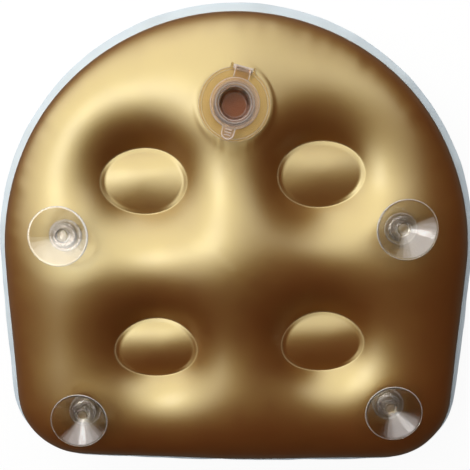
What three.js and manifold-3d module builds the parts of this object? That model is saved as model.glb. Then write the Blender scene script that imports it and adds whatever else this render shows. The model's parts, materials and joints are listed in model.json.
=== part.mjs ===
// Inflatable seat cushion for a hot tub: two welded films, oval tufts, a plug valve and suction cups.
// Millimetres with +Z up. The gold back film faces up, the valve end points to +Y.
// The pale front film rests on z = 0.

import * as THREE from 'three';
import { mergeVertices } from 'three/addons/utils/BufferGeometryUtils.js';
import Module from 'manifold-3d';

// Outline of the welded films
const WIDTH = 400;
const LENGTH = 390;
const SIDE_BOW_RADIUS = 4000;
const FRONT_BOW_RADIUS = 2600;
const CORNER_RADIUS = 66;
const FLANGE_WIDTH = 8.5;
const LIP_WIDTH = 1.5;

// Films blown up with air
const FILM = 0.5;
const CROWN_HEIGHT = 44;
const SEAM_POWER = 0.3;
const REST_HEIGHT = 37.5;
const FIT = 0.3;

// Oval tufts, where a tie inside the cushion holds the films down along a rim
const PATTERN_Y = -7.7;
const PATTERN_TURN = 3;
const TUFT_PITCH = 139;
const TUFT_WIDTH = 68.5;
const TUFT_DEPTH = 52;
const TUFT_DIP = 0.5;
const TUFT_SADDLE = 0.16;
const TUFT_SPREAD = 25;
const TUFT_WAVE = 0.08;
const TUFT_RIM = 3;
const TUFT_SINK = 1;
const TUFT_TILT = 2.5;
const TUFT_DOME = 3;
const TUFT_SHOULDER = 0.6;

// Valve base: a welded flange with a neck above the film and a skirt below it
const VALVE_X = -2.5;
const VALVE_FROM_END = 80;
const VALVE_TURN = -13.5;
const FLANGE_RADIUS = 26.5;
const FLANGE_THICKNESS = 1.2;
const FLANGE_EDGE = 0.6;
const BORE_RADIUS = 12.9;
const NECK_WALL = 2.6;
const NECK_HEIGHT = 6;
const SKIRT_WALL = 1.3;
const SKIRT_DEPTH = 7;
const SEAT_LIP = 3.5;
const SEAT_THICKNESS = 1.2;
const VALVE_PAD = 3;
const HOLE_CLEARANCE = 0.6;

// Plug cap and its strap
const CAP_RADIUS = 18;
const CAP_THICKNESS = 1.2;
const CAP_BEAD = 0.8;
const CAP_BEAD_WIDTH = 1.6;
const PLUG_WALL = 1.1;
const PLUG_TAPER = 2.7;
const PLUG_DEPTH = 10;
const PLUG_FLOOR = 1;
const TAB_WIDTH = 10;
const TAB_REACH = 26;
const TAB_RIB = 0.6;
const TAB_RIB_LENGTH = 6;
const TAB_RIBS = 3;
const STRAP_WIDTH = 11.5;
const STRAP_THICKNESS = 1.2;
const STRAP_BEND = 4;
const STRAP_STRAIGHT = 3;
const BAR_RADIUS = 1.6;
const BAR_LENGTH = 14.5;
const BAR_HEIGHT = 4.4;
const CHEEK_THICKNESS = 1.6;
const CHEEK_REACH = 2.4;
const FLAP_THICKNESS = 0.8;
const FLAP_LAP = 3;

// Suction cups and the washers that hold them
const CUP_PLACES = {
  top_left: { side: -1, inset: 68, ahead: 212 },
  top_right: { side: 1, inset: 74, ahead: 220.5 },
  bottom_left: { side: -1, inset: 76, ahead: 65 },
  bottom_right: { side: 1, inset: 72.5, ahead: 74.5 },
};
const CUP_RADIUS = 22.5;
const CUP_STAND_OFF = 17;
const CUP_HOLLOW = 7.6;
const CUP_LIP = 1.6;
const CUP_LIP_THICKNESS = 0.9;
const CUP_WALL = 2.2;
const CUP_CORE = { radius: 3.4, rise: 0.5 };
const NECK_RADIUS = 4.9;
const HEAD_RADIUS = 7.6;
const HEAD_THICKNESS = 1.8;
const HEAD_EDGE = 0.45;
const WASHER_RADIUS = 12;
const WASHER_THICKNESS = 0.8;
const WASHER_SLACK = 0.6;
const CUP_PAD = 3;
const CUP_LEAN = 0.55;

// How finely round and blown shapes are cut
const EDGE_STEPS = { arch: 18, side: 5, corner: 6, front: 9 };
const WELD_FINER = 2;
const TUFT_STEPS = 16;
const PAD_STEPS = 12;
const ROUND_STEPS = 32;
const CUP_STEPS = 24;
const BEND_STEPS = 8;
const FILL_CLEAR = 19;
const EDGE_ROWS = [1.5, 6, 18];
const WALL_ROW = 8;

const UP = new THREE.Vector3(0, 0, 1);
const degrees = THREE.MathUtils.degToRad;

const wasm = await Module();
wasm.setup();

// Corner circle that touches the bowed side and the bowed front from inside
function cornerCentre(side, front) {
  const toSide = SIDE_BOW_RADIUS - CORNER_RADIUS;
  const toFront = FRONT_BOW_RADIUS - CORNER_RADIUS;
  const between = front.clone().sub(side);
  const span = between.length();
  const along = (toSide ** 2 - toFront ** 2 + span ** 2) / (2 * span);
  const across = Math.sqrt(toSide ** 2 - along ** 2);
  between.divideScalar(span);
  const outward = new THREE.Vector2(between.y, -between.x);
  return side.clone().addScaledVector(between, along).addScaledVector(outward, across);
}

// Arcs of the closed outline, counter-clockwise from the right: arch, bowed sides, corners, bowed front
function outlineArcs() {
  const archY = LENGTH / 2 - WIDTH / 2;
  const side = new THREE.Vector2(WIDTH / 2 - SIDE_BOW_RADIUS, archY);
  const front = new THREE.Vector2(0, FRONT_BOW_RADIUS - LENGTH / 2);
  const corner = cornerCentre(side, front);
  const sideSweep = Math.atan2(side.y - corner.y, corner.x - side.x);
  const frontSweep = Math.atan2(corner.x - front.x, front.y - corner.y);
  const left = Math.PI;
  const down = 1.5 * Math.PI;
  const right = 2 * Math.PI;
  const arc = (x, y, radius, from, to, steps) => {
    return { curve: new THREE.EllipseCurve(x, y, radius, radius, from, to), steps };
  };
  return [
    arc(0, archY, WIDTH / 2, 0, left, EDGE_STEPS.arch),
    arc(-side.x, side.y, SIDE_BOW_RADIUS, left, left + sideSweep, EDGE_STEPS.side),
    arc(-corner.x, corner.y, CORNER_RADIUS, left + sideSweep, down - frontSweep, EDGE_STEPS.corner),
    arc(front.x, front.y, FRONT_BOW_RADIUS, down - frontSweep, down + frontSweep, EDGE_STEPS.front),
    arc(corner.x, corner.y, CORNER_RADIUS, down + frontSweep, right - sideSweep, EDGE_STEPS.corner),
    arc(side.x, side.y, SIDE_BOW_RADIUS, right - sideSweep, right, EDGE_STEPS.side),
  ];
}

const outline = outlineArcs();

// Ring of plan points a set way inside the outline
function edgeRing(inset, finer = 1) {
  return outline.flatMap(({ curve, steps }) => {
    const count = steps * finer;
    return Array.from({ length: count }, (_, i) => {
      const at = curve.getPoint(i / count);
      const inward = new THREE.Vector2(curve.aX - at.x, curve.aY - at.y).normalize();
      return at.addScaledVector(inward, inset);
    });
  });
}

// Plan point of the weld pattern, which sits a little askew on the films
function patternPoint(x, y) {
  const point = new THREE.Vector2(x, y);
  point.rotateAround(new THREE.Vector2(), degrees(PATTERN_TURN));
  return point.add(new THREE.Vector2(0, PATTERN_Y));
}

// Place in the weld pattern of a plan point
function toPattern(x, y) {
  const point = new THREE.Vector2(x, y - PATTERN_Y);
  return point.rotateAround(new THREE.Vector2(), -degrees(PATTERN_TURN));
}

// Ring of plan points round an oval of the weld pattern
function ovalRing(tuft, halfWidth, halfDepth, steps) {
  return Array.from({ length: steps }, (_, i) => {
    const turn = (2 * Math.PI * i) / steps;
    return patternPoint(tuft.x + halfWidth * Math.cos(turn), tuft.y + halfDepth * Math.sin(turn));
  });
}

// Ring of plan points round a circle on the films
function circleRing(x, y, radius, steps) {
  return Array.from({ length: steps }, (_, i) => {
    const turn = (2 * Math.PI * i) / steps;
    return new THREE.Vector2(x + radius * Math.cos(turn), y + radius * Math.sin(turn));
  });
}

const half = TUFT_PITCH / 2;
const tufts = [[-half, half], [half, half], [-half, -half], [half, -half]].map(([x, y]) => ({ x, y }));
const rimRings = tufts.map((tuft) => ovalRing(tuft, TUFT_WIDTH / 2, TUFT_DEPTH / 2, 2 * TUFT_STEPS));
const seamRing = edgeRing(FLANGE_WIDTH, WELD_FINER);

// Lift of the film between the seams: the less the seam holds a plan point, the higher. Every piece of seam
// holds it by the angle it is seen at over its distance.
function seamLift(x, y) {
  let held = 0;
  seamRing.forEach((start, i) => {
    const end = seamRing[(i + 1) % seamRing.length];
    const cross = Math.abs((start.x - x) * (end.y - y) - (start.y - y) * (end.x - x));
    const dot = (start.x - x) * (end.x - x) + (start.y - y) * (end.y - y);
    held += (start.distanceTo(end) * Math.atan2(cross, dot)) / Math.max(cross, 1e-9);
  });
  return 1 / held;
}

// Share of the lift that the tufts leave: a slow wave between them, and a dip that dies away round each rim.
// The dip is shallower at the ends of an oval than along its long sides.
function tuftShare(x, y) {
  const at = toPattern(x, y);
  const wave = Math.cos((2 * Math.PI * at.x) / TUFT_PITCH) + Math.cos((2 * Math.PI * at.y) / TUFT_PITCH);
  let share = 1 + (TUFT_WAVE * wave) / 2;
  for (const tuft of tufts) {
    const away = new THREE.Vector2(at.x - tuft.x, at.y - tuft.y);
    const across = away.x / (TUFT_WIDTH / 2);
    const along = away.y / (TUFT_DEPTH / 2);
    const rims = Math.hypot(across, along);
    const gap = rims > 1 ? away.length() * (1 - 1 / rims) : 0;
    const saddle = (TUFT_SADDLE * (across ** 2 - along ** 2)) / Math.max(rims ** 2, 1e-9);
    share -= TUFT_DIP * (1 - saddle) * Math.exp(-gap / TUFT_SPREAD);
  }
  return share;
}

const middleLift = seamLift(0, PATTERN_Y);
const middleShare = tuftShare(0, PATTERN_Y);

// Height of the blown film above the weld plane
function crown(x, y) {
  const lift = (seamLift(x, y) / middleLift) ** SEAM_POWER;
  return (CROWN_HEIGHT * lift * tuftShare(x, y)) / middleShare;
}

// Flat place on the back film for a fitting: a plane that leans a share of the slope of the film round it
function flatPad(x, y, radius, lean) {
  const east = crown(x + radius, y);
  const west = crown(x - radius, y);
  const north = crown(x, y + radius);
  const south = crown(x, y - radius);
  const slopeX = (lean * (east - west)) / (2 * radius);
  const slopeY = (lean * (north - south)) / (2 * radius);
  const height = (east + west + north + south) / 4;
  const normal = new THREE.Vector3(-slopeX, -slopeY, 1).normalize();
  return { x, y, radius, slopeX, slopeY, height, normal };
}

const valvePad = flatPad(VALVE_X, LENGTH / 2 - VALVE_FROM_END, FLANGE_RADIUS + VALVE_PAD, 1);
const cupPads = {};
for (const [place, { side, inset, ahead }] of Object.entries(CUP_PLACES)) {
  const x = side * (WIDTH / 2 - inset);
  cupPads[place] = flatPad(x, ahead - LENGTH / 2, WASHER_RADIUS + CUP_PAD, CUP_LEAN);
}

const blown = (p) => new THREE.Vector3(p.x, p.y, crown(p.x, p.y));
const welded = (p) => new THREE.Vector3(p.x, p.y, 0);

// Point on the plane of a pad
function onPad(pad, p) {
  const height = pad.height + pad.slopeX * (p.x - pad.x) + pad.slopeY * (p.y - pad.y);
  return new THREE.Vector3(p.x, p.y, height);
}

// Points of one tuft: its middle and shoulder, which tilt and puff up a little, the rim and the wall round it
function tuftPoints(tuft) {
  const width = TUFT_WIDTH / 2;
  const depth = TUFT_DEPTH / 2;
  const ringAt = (out, share, steps) => ovalRing(tuft, (width + out) * share, (depth + out) * share, steps);
  const levels = ringAt(0, 1, TUFT_STEPS).map((p) => crown(p.x, p.y));
  const level = levels.reduce((sum, height) => sum + height, 0) / TUFT_STEPS;
  const insideAt = (share, steps) => ringAt(-TUFT_RIM, share, steps).map((p, i) => {
    const tilt = TUFT_TILT * share * Math.sin((2 * Math.PI * i) / steps);
    const bend = (levels[(i * TUFT_STEPS) / steps] - level) * share ** 2;
    const puff = TUFT_DOME * (1 - share ** 2);
    return new THREE.Vector3(p.x, p.y, level - TUFT_SINK + tilt + bend + puff);
  });
  return [
    ...insideAt(0, 1),
    ...insideAt(TUFT_SHOULDER, TUFT_STEPS / 2),
    ...insideAt(1, TUFT_STEPS),
    ...ringAt(0, 1, TUFT_STEPS).map(blown),
    ...ringAt(WALL_ROW, 1, TUFT_STEPS).map(blown),
  ];
}

// Points along the edge of a film that reaches to a given inset from the outline
function edgePoints(reach) {
  return [
    ...edgeRing(reach).map(welded),
    ...edgeRing(FLANGE_WIDTH).map(welded),
    ...EDGE_ROWS.flatMap((row) => edgeRing(FLANGE_WIDTH + row).map(blown)),
  ];
}

// Whether a plan point lies inside a ring that bulges outward all round
function isInside(ring, x, y) {
  return ring.every((a, i) => {
    const b = ring[(i + 1) % ring.length];
    return (b.x - a.x) * (y - a.y) > (b.y - a.y) * (x - a.x);
  });
}

// Points over the open film between the welds and the pads, each clear of all the others
function fillPoints(taken, pads) {
  const within = edgeRing(FLANGE_WIDTH + EDGE_ROWS.at(-1));
  const pitch = FILL_CLEAR / 2;
  const spaced = [...taken];
  for (let y = -LENGTH / 2; y < LENGTH / 2; y += pitch) {
    for (let x = -WIDTH / 2; x < WIDTH / 2; x += pitch) {
      const open = isInside(within, x, y) && !rimRings.some((ring) => isInside(ring, x, y));
      const offPads = pads.every((pad) => Math.hypot(pad.x - x, pad.y - y) > pad.radius);
      const clear = spaced.every((p) => Math.hypot(p.x - x, p.y - y) > FILL_CLEAR);
      if (open && offPads && clear) spaced.push(blown({ x, y }));
    }
  }
  return spaced.slice(taken.length);
}

// Triangle with the circle through its corners
function circledTriangle(plan, a, b, c) {
  const [bx, by] = [plan[b][0] - plan[a][0], plan[b][1] - plan[a][1]];
  const [cx, cy] = [plan[c][0] - plan[a][0], plan[c][1] - plan[a][1]];
  const twice = 2 * (bx * cy - by * cx);
  const x = (cy * (bx * bx + by * by) - by * (cx * cx + cy * cy)) / twice;
  const y = (bx * (cx * cx + cy * cy) - cx * (bx * bx + by * by)) / twice;
  return { corners: [a, b, c], x: plan[a][0] + x, y: plan[a][1] + y, square: x * x + y * y };
}

// Triangles over plan points, with no point inside the circle of any triangle
function triangulate(points) {
  const scatter = 1e-3;
  const far = 100 * (WIDTH + LENGTH);
  const count = points.length;
  const plan = points.map((p, i) => [p.x + scatter * Math.sin(i * i), p.y + scatter * Math.cos(i * i)]);
  plan.push([-far, -far], [far, -far], [0, far]);
  let triangles = [circledTriangle(plan, count, count + 1, count + 2)];
  for (let i = 0; i < count; i += 1) {
    const rim = new Map();
    triangles = triangles.filter((triangle) => {
      if ((triangle.x - plan[i][0]) ** 2 + (triangle.y - plan[i][1]) ** 2 > triangle.square) return true;
      triangle.corners.forEach((from, k) => {
        const to = triangle.corners[(k + 1) % 3];
        if (!rim.delete(`${to},${from}`)) rim.set(`${from},${to}`, [from, to]);
      });
      return false;
    });
    for (const [from, to] of rim.values()) triangles.push(circledTriangle(plan, from, to, i));
  }
  return triangles.map((triangle) => triangle.corners).filter((corners) => corners.every((k) => k < count));
}

// Closed thin sheet over the points of a film, with the air side FIT / 2 off the weld plane
function filmGeometry(points, isHole, facing) {
  const triangles = triangulate(points).filter((corners) => !corners.every(isHole));
  const count = points.length;
  const airSide = new THREE.BufferGeometry().setFromPoints(points).setIndex(triangles.flat());
  airSide.computeVertexNormals();
  const normals = airSide.attributes.normal;
  const outer = points.map((p, i) => {
    const thickness = new THREE.Vector3().fromBufferAttribute(normals, i).multiplyScalar(FILM);
    return thickness.add(p);
  });
  const faces = triangles.flatMap(([a, b, c]) => [[a, c, b], [a + count, b + count, c + count]]);
  const edges = new Set(triangles.flatMap(([a, b, c]) => [`${a},${b}`, `${b},${c}`, `${c},${a}`]));
  for (const edge of edges) {
    const [a, b] = edge.split(',').map(Number);
    if (!edges.has(`${b},${a}`)) faces.push([a, b, b + count], [a, b + count, a + count]);
  }
  const shell = new THREE.BufferGeometry().setFromPoints([...points, ...outer]);
  shell.setIndex(faces.flatMap(([a, b, c]) => (facing > 0 ? [a, b, c] : [a, c, b])));
  shell.translate(0, 0, FIT / 2).scale(1, 1, facing).translate(0, 0, REST_HEIGHT);
  return shell;
}

// Gold back film with flat pads for the fittings and a hole under the valve
function backFilm() {
  const holeRadius = (BORE_RADIUS + SKIRT_WALL + HOLE_CLEARANCE) / Math.cos(Math.PI / PAD_STEPS);
  const padRing = (pad, radius) => circleRing(pad.x, pad.y, radius, PAD_STEPS).map((p) => onPad(pad, p));
  const hole = padRing(valvePad, holeRadius);
  const pads = [valvePad, ...Object.values(cupPads)];
  const padPoints = pads.flatMap((pad) => padRing(pad, pad.radius));
  const middles = Object.values(cupPads).map((pad) => onPad(pad, pad));
  const points = [...hole, ...padPoints, ...middles, ...tufts.flatMap(tuftPoints)];
  points.push(...edgePoints(FLANGE_WIDTH - LIP_WIDTH));
  points.push(...fillPoints(points, pads));
  return filmGeometry(points, (k) => k < PAD_STEPS, 1);
}

// Pale front film, pressed flat where the cushion rests
function frontFilm() {
  const points = [...tufts.flatMap(tuftPoints), ...edgePoints(0)];
  points.push(...fillPoints(points, []));
  const deepest = REST_HEIGHT - FIT / 2 - FILM;
  for (const point of points) point.z = Math.min(point.z, deepest);
  return filmGeometry(points, () => false, -1);
}

// Closed solid that manifold-3d can join or cut
function solidOf(geometry) {
  const bare = geometry.clone();
  bare.deleteAttribute('normal');
  bare.deleteAttribute('uv');
  const merged = mergeVertices(bare, 1e-4);
  const vertProperties = new Float32Array(merged.attributes.position.array);
  const triVerts = new Uint32Array(merged.index.array);
  return new wasm.Manifold(new wasm.Mesh({ numProp: 3, vertProperties, triVerts }));
}

// Drawable geometry of a joined solid
function geometryOf(solid) {
  const made = solid.getMesh();
  const geometry = new THREE.BufferGeometry();
  geometry.setAttribute('position', new THREE.BufferAttribute(new Float32Array(made.vertProperties), 3));
  geometry.setIndex([...made.triVerts]);
  return geometry;
}

// Round body about +Z from radius and height pairs
function turned(profile, steps) {
  const lathe = new THREE.LatheGeometry(profile.map(([r, z]) => new THREE.Vector2(r, z)), steps);
  return lathe.rotateX(Math.PI / 2);
}

// Block that stands on a height and is centred in x, from one y to another
function block(width, fromY, toY, fromZ, toZ) {
  const box = new THREE.BoxGeometry(width, toY - fromY, toZ - fromZ);
  return box.translate(0, (fromY + toY) / 2, (fromZ + toZ) / 2);
}

const flangeTop = FIT + FLANGE_THICKNESS;
const neckTop = flangeTop + NECK_HEIGHT;
const capUnder = neckTop + FIT;
const capTop = capUnder + CAP_THICKNESS;
const seatUnder = FIT - SKIRT_DEPTH;
const barY = CAP_RADIUS + FIT + STRAP_STRAIGHT + STRAP_BEND;
const barHalf = BAR_LENGTH / 2;

// Valve base with two cheeks beside the hinge bar
function valveBase() {
  const profile = [
    [BORE_RADIUS, neckTop],
    [BORE_RADIUS, seatUnder + SEAT_THICKNESS],
    [BORE_RADIUS - SEAT_LIP, seatUnder + SEAT_THICKNESS],
    [BORE_RADIUS - SEAT_LIP, seatUnder],
    [BORE_RADIUS + SKIRT_WALL, seatUnder],
    [BORE_RADIUS + SKIRT_WALL, FIT],
    [FLANGE_RADIUS, FIT],
    [FLANGE_RADIUS, flangeTop - FLANGE_EDGE],
    [FLANGE_RADIUS - FLANGE_EDGE, flangeTop],
    [BORE_RADIUS + NECK_WALL, flangeTop],
    [BORE_RADIUS + NECK_WALL, neckTop],
    [BORE_RADIUS, neckTop],
  ];
  let base = solidOf(turned(profile, ROUND_STEPS));
  const top = BAR_HEIGHT + BAR_RADIUS;
  for (const side of [-1, 1]) {
    const cheek = block(CHEEK_THICKNESS, barY - CHEEK_REACH, barY + CHEEK_REACH, FIT, top);
    cheek.translate(side * (barHalf + FIT + CHEEK_THICKNESS / 2), 0, 0);
    base = base.add(solidOf(cheek));
  }
  return geometryOf(base);
}

// Hollow plug cap with a ribbed pull tab
function valveCap() {
  const plugRadius = BORE_RADIUS - FIT;
  const bottom = capTop - PLUG_DEPTH - PLUG_FLOOR;
  const profile = [
    [0, bottom],
    [plugRadius - PLUG_TAPER, bottom],
    [plugRadius, capUnder],
    [CAP_RADIUS, capUnder],
    [CAP_RADIUS, capTop + CAP_BEAD],
    [CAP_RADIUS - CAP_BEAD_WIDTH, capTop + CAP_BEAD],
    [CAP_RADIUS - 2 * CAP_BEAD_WIDTH, capTop],
    [plugRadius - PLUG_WALL, capTop],
    [plugRadius - PLUG_WALL - PLUG_TAPER, bottom + PLUG_FLOOR],
    [0, bottom + PLUG_FLOOR],
  ];
  let cap = solidOf(turned(profile, ROUND_STEPS));
  const tabHalf = TAB_WIDTH / 2;
  const shape = new THREE.Shape();
  shape.moveTo(-tabHalf, CAP_BEAD_WIDTH - CAP_RADIUS);
  shape.lineTo(-tabHalf, tabHalf - TAB_REACH);
  shape.absarc(0, tabHalf - TAB_REACH, tabHalf, Math.PI, 2 * Math.PI);
  shape.lineTo(tabHalf, CAP_BEAD_WIDTH - CAP_RADIUS);
  const cut = { depth: CAP_THICKNESS, bevelEnabled: false, curveSegments: BEND_STEPS };
  const tab = new THREE.ExtrudeGeometry(shape, cut);
  cap = cap.add(solidOf(tab.translate(0, 0, capUnder)));
  const ribPitch = (TAB_REACH - CAP_RADIUS) / (TAB_RIBS + 1);
  for (let place = 1; place <= TAB_RIBS; place += 1) {
    const y = -CAP_RADIUS - place * ribPitch;
    const rib = block(TAB_RIB_LENGTH, y - TAB_RIB / 2, y + TAB_RIB / 2, capUnder, capTop + TAB_RIB);
    cap = cap.add(solidOf(rib));
  }
  return geometryOf(cap);
}

// Strap that bends down from the cap to a bar between the cheeks
function capStrap() {
  const bendY = CAP_RADIUS + FIT + STRAP_STRAIGHT;
  const outer = STRAP_BEND + STRAP_THICKNESS / 2;
  const inner = STRAP_BEND - STRAP_THICKNESS / 2;
  const side = new THREE.Shape();
  side.moveTo(CAP_RADIUS + FIT, BAR_HEIGHT + inner);
  side.lineTo(bendY, BAR_HEIGHT + inner);
  side.absarc(bendY, BAR_HEIGHT, inner, Math.PI / 2, 0, true);
  side.lineTo(bendY + outer, BAR_HEIGHT);
  side.absarc(bendY, BAR_HEIGHT, outer, 0, Math.PI / 2);
  side.lineTo(CAP_RADIUS + FIT, BAR_HEIGHT + outer);
  const cut = { depth: STRAP_WIDTH, bevelEnabled: false, curveSegments: BEND_STEPS };
  const strip = new THREE.ExtrudeGeometry(side, cut);
  const axes = new THREE.Matrix4().makeBasis(new THREE.Vector3(0, 1, 0), UP, new THREE.Vector3(1, 0, 0));
  strip.applyMatrix4(axes).translate(-STRAP_WIDTH / 2, 0, 0);
  const bar = new THREE.CylinderGeometry(BAR_RADIUS, BAR_RADIUS, BAR_LENGTH, 2 * BEND_STEPS);
  bar.rotateZ(Math.PI / 2).translate(0, barY, BAR_HEIGHT);
  return geometryOf(solidOf(strip).add(solidOf(bar)));
}

// Flap that lies under the seat and swings down when air is blown in
function checkFlap() {
  const radius = BORE_RADIUS - SEAT_LIP + FLAP_LAP;
  const top = seatUnder - FIT;
  const profile = [[0, top - FLAP_THICKNESS], [radius, top - FLAP_THICKNESS], [radius, top], [0, top]];
  return turned(profile, ROUND_STEPS);
}

// Suction cup: button head on the film, neck through the washer, straight conical bell with a flat lip
function suctionCup() {
  const headTop = FIT + HEAD_THICKNESS;
  const roof = CUP_STAND_OFF - CUP_HOLLOW;
  const profile = [
    [0, FIT],
    [HEAD_RADIUS, FIT],
    [HEAD_RADIUS, headTop - HEAD_EDGE],
    [HEAD_RADIUS - HEAD_EDGE, headTop],
    [NECK_RADIUS, headTop],
    [NECK_RADIUS, roof - CUP_WALL],
    [CUP_RADIUS, CUP_STAND_OFF - CUP_LIP_THICKNESS],
    [CUP_RADIUS, CUP_STAND_OFF],
    [CUP_RADIUS - CUP_LIP, CUP_STAND_OFF],
    [CUP_CORE.radius, roof + CUP_CORE.rise],
    [0, roof],
  ];
  return turned(profile, CUP_STEPS);
}

// Washer that is welded to the film round the button head
function cupWasher() {
  const under = FIT + HEAD_THICKNESS + FIT;
  const top = under + WASHER_THICKNESS;
  const inside = HEAD_RADIUS + WASHER_SLACK;
  const profile = [
    [NECK_RADIUS + WASHER_SLACK, under],
    [inside, under],
    [inside, FIT],
    [WASHER_RADIUS, FIT],
    [WASHER_RADIUS, FIT + WASHER_THICKNESS],
    [inside + 2 * WASHER_THICKNESS, FIT + WASHER_THICKNESS],
    [inside + WASHER_THICKNESS, top],
    [NECK_RADIUS + WASHER_SLACK, top],
    [NECK_RADIUS + WASHER_SLACK, under],
  ];
  return turned(profile, CUP_STEPS);
}

// Own surface for each piece
const surfaces = {
  gold: { color: 0xd8c58c, roughness: 0.35, metalness: 0 },
  pale: { color: 0xd3dfe9, roughness: 0.4, metalness: 0 },
  clear: { color: 0xe6e4d6, roughness: 0.12, metalness: 0, transparent: true, opacity: 0.45 },
};

function piece(name, geometry, surface) {
  const mesh = new THREE.Mesh(geometry, new THREE.MeshStandardMaterial(surfaces[surface]));
  mesh.name = name;
  return mesh;
}

// Group that stands on a pad of the back film, turned about its normal
function fittingOn(name, pad, turn) {
  const group = new THREE.Group();
  group.name = name;
  group.position.set(pad.x, pad.y, REST_HEIGHT + FIT / 2 + pad.height).addScaledVector(pad.normal, FILM);
  group.quaternion.setFromUnitVectors(UP, pad.normal);
  group.rotateZ(degrees(turn));
  return group;
}

const cushion = new THREE.Group();
cushion.name = 'seat_cushion';
cushion.add(piece('back_sheet', backFilm(), 'gold'));
cushion.add(piece('front_sheet', frontFilm(), 'pale'));

const valve = fittingOn('valve', valvePad, VALVE_TURN);
valve.add(piece('valve_base', valveBase(), 'clear'));
valve.add(piece('valve_cap', valveCap(), 'clear'));
valve.add(piece('cap_strap', capStrap(), 'clear'));
valve.add(piece('check_flap', checkFlap(), 'clear'));
cushion.add(valve);

for (const [place, pad] of Object.entries(cupPads)) {
  const fitting = fittingOn(`fitting_${place}`, pad, 0);
  fitting.add(piece(`suction_cup_${place}`, suctionCup(), 'clear'));
  fitting.add(piece(`cup_washer_${place}`, cupWasher(), 'clear'));
  cushion.add(fitting);
}

export default cushion;
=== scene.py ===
# %% [markdown]
# # An inflatable hot tub seat cushion
# The cushion lies with its underside up. A gold film and a pale film are welded together along one closed
# seam, and air between them blows them up like a pillow. Ties inside hold both films back at four ovals. A
# clear plug valve sits at the far end, and four clear suction cups stand on the gold film. This lesson builds
# every visible piece as a surface worked out with numpy, in the frame of a CAD model that already knows where
# each piece sits and how it moves.

# %% Load the frame
import json
import bpy
import numpy as np
from mathutils import Matrix


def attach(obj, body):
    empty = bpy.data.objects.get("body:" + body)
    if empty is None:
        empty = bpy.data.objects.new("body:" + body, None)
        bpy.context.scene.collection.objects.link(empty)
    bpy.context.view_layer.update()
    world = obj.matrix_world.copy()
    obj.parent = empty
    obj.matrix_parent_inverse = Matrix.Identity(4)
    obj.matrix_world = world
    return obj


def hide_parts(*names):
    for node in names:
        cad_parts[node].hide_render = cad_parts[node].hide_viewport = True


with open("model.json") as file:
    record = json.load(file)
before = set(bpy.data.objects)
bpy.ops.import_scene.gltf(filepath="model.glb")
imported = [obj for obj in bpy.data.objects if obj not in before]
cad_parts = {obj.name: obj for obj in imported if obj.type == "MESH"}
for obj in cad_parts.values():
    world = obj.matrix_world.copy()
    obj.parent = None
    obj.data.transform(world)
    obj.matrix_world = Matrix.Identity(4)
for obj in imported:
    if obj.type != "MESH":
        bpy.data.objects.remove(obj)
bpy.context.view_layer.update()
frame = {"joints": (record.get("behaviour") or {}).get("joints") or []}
MM = 0.001

# %% [markdown]
# ## The camera
# The picture was taken from close above, a little towards the valve end, so the other end, at the bottom of
# the picture, looks smaller. A camera could be turned by hand until the outline fits. Here its place is
# worked out from the picture: how far away, how far off straight down, and which way up, with a small lens
# shift for the off-centre framing.

# %% Camera
PICTURE = 470
FOCAL_PIXELS = 500.3
LOOK_AT = np.array([0.0, -12.7, 37.5])
DISTANCE = 426.9
TILT = np.radians(11.37)
ROLL = np.radians(-0.745)
AXIS_PIXEL = (235.9, 266.3)


def placing(x_axis, y_axis, z_axis, place):
    """Matrix that turns and moves an object: its columns are the object's three axes and its place."""
    columns = np.column_stack([x_axis, y_axis, z_axis, place])
    return Matrix(np.vstack([columns, [0, 0, 0, 1]]).tolist())


towards = np.array([0.0, np.sin(TILT), np.cos(TILT)])
upward = np.array([0.0, np.cos(TILT), -np.sin(TILT)])
sideways = np.cross(upward, towards)
right = np.cos(ROLL) * sideways - np.sin(ROLL) * upward
above = np.sin(ROLL) * sideways + np.cos(ROLL) * upward
eye = (LOOK_AT + DISTANCE * towards) * MM

lens = bpy.data.cameras.new("camera")
lens.sensor_fit = "HORIZONTAL"
lens.sensor_width = 36.0
lens.lens = FOCAL_PIXELS * lens.sensor_width / PICTURE
lens.shift_x = 0.5 - AXIS_PIXEL[0] / PICTURE
lens.shift_y = AXIS_PIXEL[1] / PICTURE - 0.5
lens.clip_start = 0.01
camera = bpy.data.objects.new("camera", lens)
camera.matrix_world = placing(right, above, towards, eye)
bpy.context.collection.objects.link(camera)
bpy.context.scene.camera = camera
print("camera at", np.round(eye, 3).tolist(), "with a lens of", round(lens.lens, 1), "mm")

# %% [markdown]
# ## From arrays to a mesh
# Every piece below is one or more grids of points. Blender can weld and recalculate such a mesh with its
# own tools, but doing it with arrays keeps each value that belongs to a point beside it. Points at the same
# place become one, a square with two corners at one place becomes a triangle, and the sum of the faces says
# whether the surface has to be turned over.

# %% Helpers for grids and meshes
def grid_faces(rows, columns):
    """Squares of a grid numbered row by row: a point, the next one, and the two in the next row."""
    first = (np.arange(rows - 1)[:, None] * columns + np.arange(columns - 1)).ravel()
    return np.stack([first, first + 1, first + columns + 1, first + columns], axis=1)


def joined(grids):
    """Points and squares of several grids as one mesh, with points at the same place made one."""
    sizes = [grid.shape[0] * grid.shape[1] for grid in grids]
    starts = np.concatenate([[0], np.cumsum(sizes)[:-1]])
    points = np.concatenate([grid.reshape(-1, grid.shape[2]) for grid in grids])
    faces = np.concatenate([grid_faces(*grid.shape[:2]) + start for grid, start in zip(grids, starts)])
    keys = np.round(points[:, :3], 4) + 0.0
    _, first, same = np.unique(keys, axis=0, return_index=True, return_inverse=True)
    return points[first], same.ravel()[faces]


def facing_sum(points, faces):
    """Enclosed volume and upward area: halves of the cross products of each square's two diagonals."""
    a, b, c, d = (points[faces[:, k], :3] for k in range(4))
    area = np.cross(c - a, d - b) / 2
    middle = (a + b + c + d) / 4
    return (area * middle).sum() / 3, area[:, 2].sum()


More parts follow.
